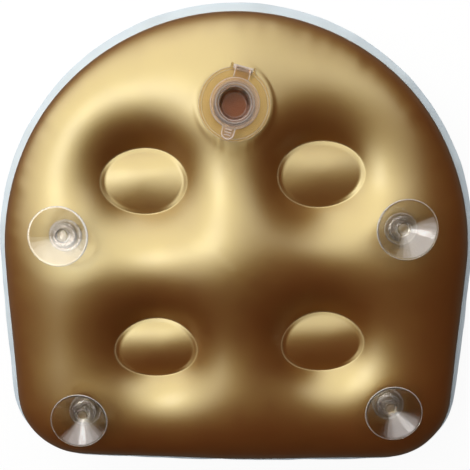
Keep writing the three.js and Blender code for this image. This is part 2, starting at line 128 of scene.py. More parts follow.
def mesh_of(name, points, faces):
    """Mesh in metres from points in millimetres; a square with a doubled corner becomes a triangle."""
    doubled = faces == np.roll(faces, -1, axis=1)
    squares = faces[doubled.sum(axis=1) == 0]
    once = doubled.sum(axis=1) == 1
    triangles = faces[once][~doubled[once]].reshape(-1, 3)
    corners = np.concatenate([squares.ravel(), triangles.ravel()])
    starts = np.concatenate([np.arange(len(squares)) * 4, squares.size + np.arange(len(triangles)) * 3])
    mesh = bpy.data.meshes.new(name)
    mesh.vertices.add(len(points))
    mesh.vertices.foreach_set("co", (points[:, :3] * MM).astype(np.float32).ravel())
    mesh.loops.add(len(corners))
    mesh.loops.foreach_set("vertex_index", corners.astype(np.int32))
    mesh.polygons.add(len(starts))
    mesh.polygons.foreach_set("loop_start", starts.astype(np.int32))
    mesh.update(calc_edges=True)
    mesh.validate()
    mesh.shade_smooth()
    return mesh


print("a grid of 3 by 4 points has", len(grid_faces(3, 4)), "squares")

# %% [markdown]
# ## Finishes
# The gold film is a satin vinyl with a metallic pearl in it: where it mirrors the light it turns cream, and
# away from it a deep brown. A plain yellow can't do that, so the finish has a brown body, a broad gloss
# tinted gold, and a clear coat that whitens the brightest parts. Fine grain and soft mottling come from noise
# on Object coordinates. The rims and the seam are paler, from an attribute that the film carries: partly
# the welds' own tone and partly a painted highlight for the thin bright line along them.

# %% Helpers for finishes
NOISE_LOW, NOISE_HIGH = 0.3, 0.7


def finish(name, **values):
    """Material with the given values set straight on its shader's sockets, with its node tree and shader."""
    material = bpy.data.materials.new(name)
    material.use_nodes = True
    shader = material.node_tree.nodes["Principled BSDF"]
    for socket, value in values.items():
        shader.inputs[socket.replace("_", " ")].default_value = value
    return material, material.node_tree, shader


def add(tree, kind, **values):
    """Node of a kind with its own settings or its sockets set by name."""
    node = tree.nodes.new("ShaderNode" + kind)
    for key, value in values.items():
        if hasattr(node, key):
            setattr(node, key, value)
        else:
            node.inputs[key.replace("_", " ")].default_value = value
    return node


def noise(tree, scale, detail=2.0):
    """Noise on Object coordinates; the scale counts its lumps in a metre."""
    place = add(tree, "TexCoord")
    texture = add(tree, "TexNoise", Scale=scale, Detail=detail)
    tree.links.new(place.outputs["Object"], texture.inputs["Vector"])
    return texture.outputs["Fac"]


def ramp(tree, value, low, high):
    """Colour that goes from one to another as a value goes over the usual spread of noise."""
    node = add(tree, "ValToRGB")
    node.color_ramp.elements[0].position = NOISE_LOW
    node.color_ramp.elements[0].color = (*low, 1.0)
    node.color_ramp.elements[1].position = NOISE_HIGH
    node.color_ramp.elements[1].color = (*high, 1.0)
    tree.links.new(value, node.inputs["Fac"])
    return node.outputs["Color"]


def spread(tree, value, low, high):
    """Number that goes from low to high as a value goes over the usual spread of noise."""
    node = add(tree, "MapRange", From_Min=NOISE_LOW, From_Max=NOISE_HIGH, To_Min=low, To_Max=high)
    tree.links.new(value, node.inputs["Value"])
    return node.outputs["Result"]


def bump(tree, shader, value, height):
    """Bump from a value; the height is in metres."""
    node = add(tree, "Bump", Distance=height)
    tree.links.new(value, node.inputs["Height"])
    tree.links.new(node.outputs["Normal"], shader.inputs["Normal"])


print("noise is taken to run from", NOISE_LOW, "to", NOISE_HIGH)

# %% Gold film finish
GRAIN_HEIGHT = 0.00003
GOLD_DEEP, GOLD_LIGHT = (0.125, 0.019, 0.002), (0.14, 0.023, 0.003)
# The weld tone is partly the welds' own colour and partly a painted highlight along rims and seam.
GOLD_GLOSS, WELD_AND_GLINT_TONE = (1.0, 0.84, 0.19, 1.0), (0.62, 0.5, 0.28, 1.0)
GOLD_ROUGHNESS = (0.41, 0.45)
GOLD_MOTTLE, GOLD_PATCHES, GOLD_GRAIN = 16.0, 60.0, 2200.0
MIX_SHARE, MIX_FROM, MIX_TO, MIX_RESULT = 0, 6, 7, 2
gold, tree, shader = finish("gold_film", IOR=3.1, Specular_Tint=GOLD_GLOSS)
shader.inputs["Coat Weight"].default_value = 1.0
shader.inputs["Coat IOR"].default_value = 1.9
shader.inputs["Coat Roughness"].default_value = 0.31
body_colour = ramp(tree, noise(tree, GOLD_MOTTLE, 3.0), GOLD_DEEP, GOLD_LIGHT)
# Paler tone along rims and seam from the weld attribute: weld colour and painted highlight.
weld = add(tree, "Attribute", attribute_name="weld")
paler = add(tree, "Mix", data_type="RGBA")
paler.inputs[MIX_TO].default_value = WELD_AND_GLINT_TONE
tree.links.new(weld.outputs["Fac"], paler.inputs[MIX_SHARE])
tree.links.new(body_colour, paler.inputs[MIX_FROM])
tree.links.new(paler.outputs[MIX_RESULT], shader.inputs["Base Color"])
tree.links.new(spread(tree, noise(tree, GOLD_PATCHES), *GOLD_ROUGHNESS), shader.inputs["Roughness"])
bump(tree, shader, noise(tree, GOLD_GRAIN), GRAIN_HEIGHT)
print("finish", gold.name)

# %% Pale film finish
PALE_DEEP, PALE_LIGHT = (0.52, 0.60, 0.67), (0.56, 0.64, 0.70)
PALE_ROUGHNESS = (0.34, 0.44)
PALE_MOTTLE, PALE_PATCHES, PALE_GRAIN = 20.0, 80.0, 1800.0
pale, tree, shader = finish("pale_film", Specular_IOR_Level=0.5)
tree.links.new(ramp(tree, noise(tree, PALE_MOTTLE), PALE_DEEP, PALE_LIGHT), shader.inputs["Base Color"])
tree.links.new(spread(tree, noise(tree, PALE_PATCHES), *PALE_ROUGHNESS), shader.inputs["Roughness"])
bump(tree, shader, noise(tree, PALE_GRAIN), GRAIN_HEIGHT)
print("finish", pale.name)

# %% [markdown]
# The valve and the cups are moulded from clear soft vinyl. It bends light like glass, but it is never quite
# clean: a faint haze and a ripple from the mould soften what shows through. A glass shader would be the usual
# choice. Here one function makes three clear vinyls that differ in tint and gloss: an amber one for the valve
# base, a pinkish one for the cap and its strap, and one with a glossy coat for the cups.

# %% Clear vinyl finish
COAT_BEND = 1.7
EDGE_CLEARNESS = 0.4
HAZE_PATCHES, HAZE_SPREAD, RIPPLES = 150.0, 0.3, 260.0
VALVE_TINT, VALVE_GLOSS = (0.95, 0.83, 0.62), (0.7, 0.5, 0.28)
CAP_TINT, CAP_GLOSS = (0.86, 0.75, 0.68), (0.75, 0.6, 0.5)
CUP_TINT, CUP_GLOSS = (0.96, 0.93, 0.90), (1.0, 1.0, 1.0)


def clear_vinyl(name, colour, gloss, haze, bend, body, coat):
    """Clear vinyl of a colour, with a roughness that varies a little about the haze. It bends light by the
    given index, and the body is the share of light that it bends; the rest goes straight through, as through
    a thin wall. The gloss is the tint of what it mirrors, and the coat the weight of a clear layer on top.
    Along its edges it is milky instead of clear, by an attribute that the piece carries. The milky line is
    partly the vinyl's own haze and partly a painted highlight."""
    material, tree, shader = finish(name, Base_Color=(*colour, 1.0), IOR=bend, Alpha=body)
    shader.inputs["Specular Tint"].default_value = (*gloss, 1.0)
    shader.inputs["Coat Weight"].default_value = coat
    shader.inputs["Coat IOR"].default_value = COAT_BEND
    uneven = spread(tree, noise(tree, HAZE_PATCHES), haze * (1 - HAZE_SPREAD), haze * (1 + HAZE_SPREAD))
    tree.links.new(uneven, shader.inputs["Roughness"])
    bump(tree, shader, noise(tree, RIPPLES), GRAIN_HEIGHT)
    # The edge attribute makes edges milky: the vinyl's own haze and a painted highlight.
    edge = add(tree, "Attribute", attribute_name="edge")
    clear = add(tree, "MapRange", To_Min=1.0, To_Max=EDGE_CLEARNESS)
    tree.links.new(edge.outputs["Fac"], clear.inputs["Value"])
    tree.links.new(clear.outputs["Result"], shader.inputs["Transmission Weight"])
    print("finish", name)
    return material


valve_vinyl = clear_vinyl("valve_vinyl", VALVE_TINT, VALVE_GLOSS, haze=0.025, bend=1.28, body=0.75, coat=0.0)
cap_vinyl = clear_vinyl("cap_vinyl", CAP_TINT, CAP_GLOSS, haze=0.06, bend=1.3, body=0.8, coat=0.0)
cup_vinyl = clear_vinyl("cup_vinyl", CUP_TINT, CUP_GLOSS, haze=0.025, bend=1.5, body=0.85, coat=1.0)

# %% Flap finish
# The flap's dark brown is painted shade: it copies the dim inside of the cushion that shows through the plug.
FLAP_SHADE_DEEP, FLAP_SHADE_LIGHT = (0.27, 0.088, 0.022), (0.31, 0.10, 0.026)
FLAP_ROUGHNESS = (0.35, 0.5)
FLAP_MOTTLE, FLAP_PATCHES = 40.0, 90.0
flap_vinyl_painted_shade, tree, shader = finish("flap_vinyl_painted_shade", Specular_IOR_Level=0.3)
tree.links.new(ramp(tree, noise(tree, FLAP_MOTTLE), FLAP_SHADE_DEEP, FLAP_SHADE_LIGHT), shader.inputs["Base Color"])
tree.links.new(spread(tree, noise(tree, FLAP_PATCHES), *FLAP_ROUGHNESS), shader.inputs["Roughness"])
print("finish", flap_vinyl_painted_shade.name)

# %% [markdown]
# ## The outline of the films
# Seen from above, the outline is a half circle at the valve end, two nearly straight sides, two round
# corners and a slightly bowed front. Arcs that touch each other smoothly give that with a few numbers, and
# a curve that runs a set way inside it is the same arcs with their radii changed.

# %% Outline
WIDTH, LENGTH = 400.0, 390.0
SIDE_BOW, FRONT_BOW, CORNER = 4000.0, 2600.0, 66.0
FLANGE, LIP = 8.5, 1.5


def outline_arcs():
    """Arcs as rows of centre x, centre y, radius, first and last angle, counter-clockwise from the right.
    The corner circle's centre is where circles about the centres of the side and the front cross."""
    arch_y = (LENGTH - WIDTH) / 2
    side = np.array([WIDTH / 2 - SIDE_BOW, arch_y])
    front = np.array([0.0, FRONT_BOW - LENGTH / 2])
    span = np.hypot(*(front - side))
    ahead = (front - side) / span
    along = ((SIDE_BOW - CORNER) ** 2 - (FRONT_BOW - CORNER) ** 2 + span**2) / (2 * span)
    across = np.sqrt((SIDE_BOW - CORNER) ** 2 - along**2)
    corner = side + along * ahead + across * np.array([ahead[1], -ahead[0]])
    bend = np.arctan2(side[1] - corner[1], corner[0] - side[0])
    sweep = np.arctan2(corner[0], front[1] - corner[1])
    left, down, right = np.pi * np.array([1.0, 1.5, 2.0])
    return np.array([
        [0, arch_y, WIDTH / 2, 0, left],
        [-side[0], arch_y, SIDE_BOW, left, left + bend],
        [-corner[0], corner[1], CORNER, left + bend, down - sweep],
        [0, front[1], FRONT_BOW, down - sweep, down + sweep],
        [corner[0], corner[1], CORNER, down + sweep, right - bend],
        [side[0], arch_y, SIDE_BOW, right - bend, right],
    ])


ARCS = outline_arcs()
ARC_STOPS = np.concatenate([[0.0], np.cumsum(ARCS[:, 2] * (ARCS[:, 4] - ARCS[:, 3]))])
ROUND = ARC_STOPS[-1]


def edge_point(share, inset):
    """Plan point at a share of the way round, moved inward: the arc's centre plus its radius less the inset,
    in the direction of the arc's angle there."""
    way = np.mod(share, 1.0) * ROUND
    k = np.clip(np.searchsorted(ARC_STOPS, way, side="right") - 1, 0, len(ARCS) - 1)
    x, y, radius, first, _ = np.moveaxis(ARCS[k], -1, 0)
    angle = first + (way - ARC_STOPS[k]) / radius
    return np.stack([x + (radius - inset) * np.cos(angle), y + (radius - inset) * np.sin(angle)], axis=-1)


print("the outline is", round(ROUND), "mm round")

# %% [markdown]
# ## The tuft pattern
# The four oval tufts sit in a square that is turned a little on the film. Its two axes cut the film into
# four quarters with one oval each, which makes a good layout for a grid: rays run from the middle of each
# oval to the border of its quarter.

# %% Tuft pattern
PATTERN_Y = -7.7
PATTERN_TURN = np.radians(3.0)
PITCH = 139.0
OVAL = np.array([34.25, 26.0])
BAND = 3.0
AXES = np.array([[np.cos(PATTERN_TURN), np.sin(PATTERN_TURN)], [-np.sin(PATTERN_TURN), np.cos(PATTERN_TURN)]])
QUARTERS = np.array([[1, 1], [-1, 1], [-1, -1], [1, -1]])
SEARCH_STEPS = 20000
OVAL_MIDDLES = QUARTERS * PITCH / 2


def to_plan(pattern):
    """Plan point of a point of the pattern: turned, then moved to the pattern's middle."""
    return pattern @ AXES + [0.0, PATTERN_Y]


def to_pattern(plan):
    """Point of the pattern for a plan point: moved back, then turned back."""
    return (plan - [0.0, PATTERN_Y]) @ AXES.T


def axis_shares():
    """Shares of the way round at which the seam crosses the pattern's axes, found by small steps along it."""
    share = np.linspace(0.0, 1.0, SEARCH_STEPS + 1)[:-1]
    seam = to_pattern(edge_point(share, FLANGE))
    quarter = np.mod(np.floor(np.arctan2(seam[:, 1], seam[:, 0]) / (np.pi / 2)), 4)
    first = share[np.flatnonzero(np.diff(quarter) % 4 == 1) + 1]
    return np.append(first, first[0] + 1.0)


SHARES = axis_shares()
print("the pattern's axes meet the seam at", np.round(SHARES, 3).tolist())

# %% [markdown]
# ## How high the air lifts the film
# A blown film stands up steeply from its seam and is flattest where it is farthest from it. At the ovals a
# tie inside the cushion holds it down along a rim. A cloth simulation with air pressure could be set up to
# find such a shape. A formula is used here, because it is smooth on any grid, comes out the same every time
# and is fitted to the picture with a few numbers. From each point, every short piece of seam holds the film
# down by the angle it is seen at over its distance, and the less the seam holds, the higher the film is
# lifted. The tufts leave a share of that lift: it dips towards each rim, and the dip dies away with the
# distance from the rim.

# %% Height of the blown film
CROWN, SEAM_POWER = 44.0, 0.3
DIP, DIP_SPREAD, SADDLE, WAVE = 0.5, 25.0, 0.16, 0.08
SEAM_PIECES, AT_ONCE = 720, 1000
TINY = 1e-9
SEAM_POINTS = edge_point(np.linspace(0.0, 1.0, SEAM_PIECES + 1), FLANGE)
STARTS, ENDS = SEAM_POINTS[:-1], SEAM_POINTS[1:]
SPANS = np.hypot(*(ENDS - STARTS).T)


def seam_reach(plan):
    """Distance from a straight seam that would hold each point as firmly as this seam does: pi over the sum,
    over all pieces of seam, of the angle a piece is seen at over the distance to its line. That distance is
    the cross product of the arms to its ends over its length. Taking some points at a time saves memory."""
    found = []
    for some in np.array_split(plan.reshape(-1, 2), max(1, plan.size // (2 * AT_ONCE))):
        a = STARTS - some[:, None]
        b = ENDS - some[:, None]
        cross = np.abs(a[..., 0] * b[..., 1] - a[..., 1] * b[..., 0]) + TINY
        found.append(np.pi / (SPANS * np.arctan2(cross, (a * b).sum(axis=-1)) / cross).sum(axis=1))
    return np.concatenate(found).reshape(plan.shape[:-1])


def share_left(plan):
    """Share of the lift that the tufts leave: one, plus a slow wave between them, less a dip at each oval.
    The dip is a power of e of the gap to the rim, measured along the line to the oval's middle, and the
    saddle makes it shallower at the ends of the oval than along its long sides."""
    at = to_pattern(plan)
    wave = np.cos(2 * np.pi * at / PITCH).mean(axis=-1)
    away = at[..., None, :] - OVAL_MIDDLES
    square = np.maximum((away / OVAL) ** 2, TINY)
    rims = np.sqrt(square.sum(axis=-1))
    gap = np.hypot(*np.moveaxis(away, -1, 0)) * np.maximum(1 - 1 / rims, 0.0)
    depth = 1 - SADDLE * (square[..., 0] - square[..., 1]) / rims**2
    return 1 + WAVE * wave - DIP * (depth * np.exp(-gap / DIP_SPREAD)).sum(axis=-1)


MIDDLE = np.array([0.0, PATTERN_Y])
MIDDLE_REACH, MIDDLE_LEFT = seam_reach(MIDDLE), share_left(MIDDLE)


def swell(plan, reach):
    """Height above the weld plane: the crown's height in the middle, times a power of the reach and times the
    share left, both measured by the middle's."""
    return CROWN * (reach / MIDDLE_REACH) ** SEAM_POWER * share_left(plan) / MIDDLE_LEFT


print("in the middle the tufts leave", round(float(MIDDLE_LEFT), 2), "of the lift")

# %% [markdown]
# ## Grids over the quarters
# Each quarter's grid has rays as columns and rings as rows. The first rings make the puffed middle of the
# oval, the next ones its rim band, and the rest the film out to the border. Rings crowd together near the
# rim and the seam, where the film turns steeply.

# %% Quarter grids
SIDE_COLUMNS, SEAM_COLUMNS = 44, 120
DOME_ROWS, BAND_ROWS, FILM_ROWS = 18, 6, 56


def quarter_border(k):
    """Border of a quarter: from the middle along one axis, along the seam, and back along the next axis."""
    ease = np.sin(np.linspace(0.0, np.pi / 2, SIDE_COLUMNS))[:, None]
    along = to_pattern(edge_point(np.linspace(SHARES[k], SHARES[k + 1], SEAM_COLUMNS), FLANGE))
    return np.concatenate([ease[:-1] * along[0], along, ease[::-1][1:] * along[-1]])


def quarter_grid(k):
    """Plan points of a quarter, in rings over the oval's dome, its rim band and the film. A point is the
    oval's middle plus a share of the ray to the border; the oval cuts the ray at one over the length of the
    ray measured in the oval's half sizes."""
    middle = OVAL_MIDDLES[k]
    ray = quarter_border(k) - middle
    inner, outer = (1 / np.hypot(*(ray / (OVAL - cut)).T) for cut in (BAND, 0.0))
    dome = np.linspace(0.0, 1.0, DOME_ROWS)[:, None]
    band = np.linspace(0.0, 1.0, BAND_ROWS)[1:, None]
    film = (1 - np.cos(np.linspace(0.0, np.pi, FILM_ROWS)))[1:, None] / 2
    share = np.concatenate([dome * inner, inner + band * (outer - inner), outer + film * (1 - outer)])
    return to_plan(middle + share[:, :, None] * ray)


plans = [quarter_grid(k) for k in range(4)]
rim_row = DOME_ROWS + BAND_ROWS - 2
reaches = [seam_reach(plan[rim_row:]) for plan in plans]
swells = [swell(plan[rim_row:], reach) for plan, reach in zip(plans, reaches)]
print("each quarter is a grid of", plans[0].shape[:2])
print("the film rises up to", round(max(height.max() for height in swells), 1), "mm")

# %% [markdown]
# ## Small unevenness
# A real film is not quite regular: the seam gathers it into faint puckers, and it has soft dents. Both are
# sums of a few waves with fixed beats, so the film comes out the same every time.

# %% Puckers and dents
PUCKER, PUCKER_IN, PUCKER_WIDTH = 0.5, 9.0, 9.0
PUCKER_BEATS = (23, 37, 58, 83)
DENT = 0.35
DENT_WAVES = ((31, 57, 1.0), (43, -29, 2.2), (np.inf, 23, 0.4))


def puckers(plan, reach):
    """Height of faint folds that run in from the seam: waves in the direction seen from the middle, strongest
    a little way in from the seam and gone farther in."""
    angle = np.arctan2(plan[..., 1] - PATTERN_Y, plan[..., 0])
    beats = np.array(PUCKER_BEATS)[:, None, None]
    waves = (np.sin(beats * angle + beats**2) / np.sqrt(beats)).sum(axis=0)
    return PUCKER * waves * np.exp(-(((reach - PUCKER_IN) / PUCKER_WIDTH) ** 2))


def dents(plan):
    """Soft uneven swell of the film: the sum of three long waves across it, each the sine of x over one
    length, plus y over another, plus a start."""
    x, y = plan[..., 0], plan[..., 1]
    return DENT * sum(np.sin(x / over_x + y / over_y + start) for over_x, over_y, start in DENT_WAVES)


highest = max(puckers(plan[rim_row:], reach).max() for plan, reach in zip(plans, reaches))
print("the puckers rise up to", round(float(highest), 2), "mm")

# %% [markdown]
# ## The discs inside the ovals
# Inside each rim the film puffs up again a little, as a disc that is higher towards the valve end. It could
# be sculpted, but a few squares and cubes of the way across it give the same soft form on the same grid. The
# unevenness fades out towards the seam, where both films lie flat.

# %% Heights of the quarters
DISC_DOME, DISC_SINK, DISC_RAISE, DISC_TILT = 3.0, 1.5, 0.9, 0.9
FADE = 20.0


def quarter_height(k):
    """Height of a quarter over the weld plane. The film is the swell with its unevenness. Inside the band it
    goes from the rim's mean level to the rim's own by the square of the way out, and puffs up by one less
    that square. It tilts up towards the valve end by the way along less its cube, sinks by a square towards
    the two ends of the oval and rises by one towards its long sides. The band joins it to the rim."""
    plan, rise = plans[k], swells[k]
    open_film = plan[rim_row:]
    rise = rise + puckers(open_film, reaches[k]) * np.clip(rise / FADE, 0.0, 1.0)
    rise = rise + dents(open_film) * np.clip(reaches[k] / FADE, 0.0, 1.0)
    rise[-1, SIDE_COLUMNS - 1 : SIDE_COLUMNS - 1 + SEAM_COLUMNS] = 0.0
    rim, level = rise[0], rise[0].mean()
    out = np.linspace(0.0, 1.0, DOME_ROWS)[:, None] ** 2
    across, along = np.moveaxis((to_pattern(plan[:DOME_ROWS]) - OVAL_MIDDLES[k]) / (OVAL - BAND), -1, 0)
    dome = level + (rim - level) * out + DISC_DOME * (1 - out)
    dome = dome + DISC_TILT * (along - along**3) - DISC_SINK * across**2 + DISC_RAISE * along**2
    band = dome[-1] + (rim - dome[-1]) * np.linspace(0.0, 1.0, BAND_ROWS)[1:-1, None]
    return np.concatenate([dome, band, rise])


heights = [quarter_height(k) for k in range(4)]
lowest, highest = min(height.min() for height in heights), max(height.max() for height in heights)
print("heights run from", round(lowest, 2), "to", round(highest, 2), "mm")

# %% [markdown]
# ## Where the fittings sit
# The CAD model's joints say where the valve and the cups are. A cup turns about its own axis, so its joint
# gives the pad's middle and normal. The valve's two hinges lie side by side, and their places and shared
# axis give its frame.

# %% Frames of the fittings
CUP_JOINT_UP = 10.0
BAR_Y, BAR_Z = 25.3, 4.4
FLAP_Y, FLAP_Z = 12.4, -7.0
PLACES = ("top_left", "top_right", "bottom_left", "bottom_right")
joints = {joint["name"]: joint for joint in frame["joints"]}


def joint_line(name):
    """Place in millimetres and unit axis of a joint."""
    axis = np.array(joints[name]["axis"])
    return np.array(joints[name]["pos_m"]) / MM, axis / np.linalg.norm(axis)


def frame_about(middle, x_axis, z_axis):
    """Frame as rows: x, y and z axes and the middle, with y square to the other two."""
    y_axis = np.cross(z_axis, x_axis)
    y_axis /= np.linalg.norm(y_axis)
    return np.array([np.cross(y_axis, z_axis), y_axis, z_axis, middle])


def cup_frame(place):
    """Frame of a cup: its joint's axis is z, and the pad lies a set way down that axis."""
    middle, axis = joint_line("cup_swivel_" + place)
    return frame_about(middle - CUP_JOINT_UP * axis, np.array([1.0, 0.0, 0.0]), axis)


def valve_frame():
    """Frame of the valve: x is the hinge axis. The arm between the hinges is known in y and z, so the arm and
    the arm turned a quarter about x give both directions."""
    bar, _ = joint_line("cap_hinge")
    flap, x_axis = joint_line("flap_hinge")
    out, rise = BAR_Y - FLAP_Y, BAR_Z - FLAP_Z
    z_axis = rise * (bar - flap) + out * np.cross(x_axis, bar - flap)
    made = frame_about(bar, x_axis, z_axis / np.linalg.norm(z_axis))
    made[3] = bar - BAR_Y * made[1] - BAR_Z * made[2]
    return made


def placed(points, at):
    """Points given in a fitting's own frame, moved to where the fitting sits."""
    return points @ at[:3] + at[3]


valve_at = valve_frame()
cups_at = {place: cup_frame(place) for place in PLACES}
lean = np.degrees(np.arccos(valve_at[2, 2]))
print("valve at", np.round(valve_at[3], 1).tolist(), "leaning", round(lean, 1), "degrees")

# %% [markdown]
# ## From a mesh to a piece
# A mesh shows nothing until an object holds it. Each piece also says which moving body of the frame it rides
# on, which material it shows and which CAD node it stands for. One function does that for all of them.

# %% Helper for pieces
def piece_of(name, mesh, material, body, slot, *nodes):
    """Object at the origin that shows a mesh, rides on a body and stands for CAD nodes."""
    piece = bpy.data.objects.new(name, mesh)
    bpy.context.collection.objects.link(piece)
    mesh.materials.clear()
    mesh.materials.append(material)
    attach(piece, body)
    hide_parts(*nodes)
    print(name, "has", len(mesh.vertices), "points and", len(mesh.polygons), "faces")
    return piece


print("the frame has", len(joints), "joints between its bodies")

# %% [markdown]
# ## The gold back film
# The film lies flat where a fitting is welded to it, so it is drawn to the plane of each pad. Beyond the seam
# it ends in a narrow lip. The hole for the valve is cut by leaving out the squares inside it and
# moving the points left on its border onto a circle.

# %% Gold back film
REST = 37.5
GOLD_BASE = REST + 0.45
PAD_EDGE = 4.0
VALVE_PAD, VALVE_BLEND = 27.0, 43.0
CUP_PAD, CUP_BLEND = 12.5, 30.0
PADS = [(valve_at, VALVE_PAD, VALVE_BLEND)] + [(at, CUP_PAD, CUP_BLEND) for at in cups_at.values()]
HOLE = 14.8
LIP_INSETS = [FLANGE, FLANGE - LIP / 2, FLANGE - LIP + 0.1, FLANGE - LIP]
LIP_LEVELS = GOLD_BASE - np.array([0, 0, 0.03, 0.25])
# Rims and seam are painted paler: partly the welds' tone and partly a painted highlight.
RIM_PALE, RIM_LINE, SEAM_FADE = 0.5, 0.5, 0.7


def eased(share):
    """Smooth step: none below zero, all above one, and no corner between."""
    share = np.clip(share, 0.0, 1.0)
    return share * share * (3 - 2 * share)


def on_pads(points):
    """Points with heights fitted to the pads. Within a pad they lie on its plane. Outside, the gap between
    the plane and the swell at the pad's border in the same direction is added, less and less over the
    blend."""
    points = points.copy()
    for at, radius, blend in PADS:
        away = points[..., :2] - at[3, :2]
        reach = np.hypot(away[..., 0], away[..., 1])
        near = reach < radius + blend
        away, reach, level = away[near], reach[near], points[near, 2]
        slope = -at[2, :2] / at[2, 2]
        border = away * (radius / np.maximum(reach, TINY))[:, None]
        film = GOLD_BASE + swell(border + at[3, :2], seam_reach(border + at[3, :2]))
        level = level + (at[3, 2] + border @ slope - film) * eased((radius + blend - reach) / blend)
        plane = at[3, 2] + away @ slope
        points[near, 2] = level + (plane - level) * eased((radius + PAD_EDGE - reach) / PAD_EDGE)
    return points


def with_height(plan, height, base, side):
    """Points over a plan: the height above the base, or below it where the side is -1."""
    return np.concatenate([plan, (base + side * height)[..., None]], axis=-1)


def strip(k, insets, levels):
    """Strip along a quarter's part of the seam: one row for each inset from the outline and its level."""
    share = np.linspace(SHARES[k], SHARES[k + 1], SEAM_COLUMNS)
    plan = np.stack([edge_point(share, inset) for inset in insets])
    return np.concatenate([plan, np.repeat(levels, SEAM_COLUMNS).reshape(len(insets), -1, 1)], axis=-1)


def weld_and_glint_share(k):
    """How much paler the film is at each point of a quarter: all of it at the seam and half of it at the
    rim, and less by a power of e with the height over the seam and by a bell curve with the distance from
    the rim. The paler tone is partly the welds' own colour and partly a painted highlight along the line."""
    from_rim = np.hypot(*np.moveaxis(plans[k] - plans[k][rim_row], -1, 0))
    at_rim = RIM_PALE * np.exp(-((from_rim / RIM_LINE) ** 2))
    return np.maximum(at_rim, np.exp(-np.maximum(heights[k], 0.0) / SEAM_FADE))


def gold_film():
    """Points and squares of the back film, with the weld and painted highlight share as a fourth value."""
    grids = []
    for k in range(4):
        points = on_pads(with_height(plans[k], heights[k], GOLD_BASE, 1))
        lip = strip(k, LIP_INSETS, LIP_LEVELS)
        grids.append(np.concatenate([points, weld_and_glint_share(k)[..., None]], axis=-1))
        grids.append(np.concatenate([lip, np.ones(lip.shape[:2] + (1,))], axis=-1))
    points, faces = joined(grids)
    away = points[:, :2] - valve_at[3, :2]
    reach = np.hypot(*away.T)
    gone = reach[faces].mean(axis=1) < HOLE
    border = np.intersect1d(faces[gone], faces[~gone])
    points[border, :2] = valve_at[3, :2] + away[border] * (HOLE / reach[border])[:, None]
    faces = faces[~gone]
    used, faces = np.unique(faces, return_inverse=True)
    return points[used], faces.reshape(-1, 4)


points, faces = gold_film()
mesh = mesh_of("gold_back_film", points, faces if facing_sum(points, faces)[1] > 0 else faces[:, ::-1])
# The weld attribute carries the paler weld tone and the painted highlight along rims and seam.
weld_and_glint_values = mesh.attributes.new("weld", "FLOAT", "POINT")
weld_and_glint_values.data.foreach_set("value", points[:, 3].astype(np.float32))
back_film = piece_of("gold_back_film", mesh, gold, "cushion", "gold_film", "back_sheet")

# %% [markdown]
# ## The pale front film
# The front film is the same swell turned downwards, pressed flat where the cushion rests. Its weld flange
# reaches past the gold film all round and shows as a pale border. The flange is a thin double layer, so it
# gets an upper face, a rounded edge and a lower face, and it waves slightly as cut film does.

# %% Pale front film
PALE_BASE = REST - 0.6
FLANGE_TOP = REST + 0.2
PRESS = 2.5
FLANGE_WAVE, FLANGE_CURL = 0.35, 1.5
FLANGE_BEATS = ((17, 1.0, 0.6), (29, 0.7, 2.1), (47, 0.5, 0.0))
FLANGE_ROWS = [6.0, 3.0]
EDGE_STEPS = 7


def pressed(level):
    """Level that never goes below the floor: far above it stays, far below it is zero, and a parabola joins
    the two."""
    bend = (level + PRESS) ** 2 / (4 * PRESS)
    return np.where(level > PRESS, level, np.where(level < -PRESS, 0.0, bend))


def flange_wave(grid):
    """Flange with its level waved: waves along the seam that grow from the seam out to the edge."""
    grid = grid.copy()
    angle = np.arctan2(grid[..., 1] - PATTERN_Y, grid[..., 0])
    wave = sum(size * np.sin(beats * angle + start) for beats, size, start in FLANGE_BEATS)
    seam = grid[:1, :, :2]
    out = np.hypot(*np.moveaxis(grid[..., :2] - seam, -1, 0)) / FLANGE
    grid[..., 2] += FLANGE_WAVE * wave * out**FLANGE_CURL
    return grid


def pale_film():
    """Points and squares of the front film and its flange."""
    edge = np.linspace(0.0, np.pi, EDGE_STEPS)
    half = (FLANGE_TOP - PALE_BASE) / 2
    under, over = [FLANGE, *FLANGE_ROWS], [*FLANGE_ROWS[::-1], FLANGE + 1.0]
    insets = np.concatenate([under, half - half * np.sin(edge), over])
    levels = np.concatenate([[PALE_BASE] * 3, PALE_BASE + half - half * np.cos(edge), [FLANGE_TOP] * 3])
    grids = []
    for k in range(4):
        film = with_height(plans[k], heights[k], PALE_BASE, -1)
        film[..., 2] = pressed(film[..., 2])
        grids += [film, flange_wave(strip(k, insets, levels))]
    return joined(grids)


points, faces = pale_film()
inside_out = facing_sum(points, faces)[1] > 0
mesh = mesh_of("pale_front_film", points, faces[:, ::-1] if inside_out else faces)
front_film = piece_of("pale_front_film", mesh, pale, "cushion", "pale_film", "front_sheet")

# %% [markdown]
# ## Turned pieces
# The valve and the cups are round, so each is a profile turned about an axis. A moulding has no sharp
# corners: each corner of the profile is replaced by a short curve, with the corner as its handle.

# %% Helpers for turned pieces
ROUND_STEPS, BAR_STEPS, CORNER_STEPS = 96, 32, 6


def closed_mesh(name, grids):
    """Mesh of grids that close on themselves, turned so that its faces point outwards."""
    points, faces = joined(grids)
    volume, _ = facing_sum(points, faces)
    return mesh_of(name, points, faces if volume > 0 else faces[:, ::-1])


